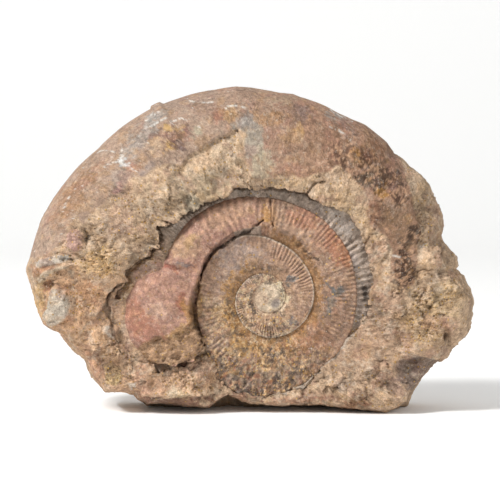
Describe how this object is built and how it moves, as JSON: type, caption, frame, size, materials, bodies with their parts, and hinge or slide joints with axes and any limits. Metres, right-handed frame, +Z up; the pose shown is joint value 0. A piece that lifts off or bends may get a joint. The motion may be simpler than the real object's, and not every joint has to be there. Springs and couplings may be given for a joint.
{
  "type": "ammonite fossil in limestone",
  "caption": "Coiled, ribbed ammonite fossil set in a rough block of limestone, standing upright on a flat broken base.",
  "frame": {"origin": "middle of the stone's bounding box, on the plane of the flat base that it stands on", "axes": "+X along the stone's length, to the right as the coil is looked at; +Y through its thickness, away from the coiled face; +Z up"},
  "size_m": [0.3216, 0.0992, 0.2323],
  "materials": {
    "limestone": "rough, unpolished pale brown ironshot limestone"
  },
  "bodies": {
    "root": {"ammonite_fossil": "limestone"}
  },
  "joints": []
}
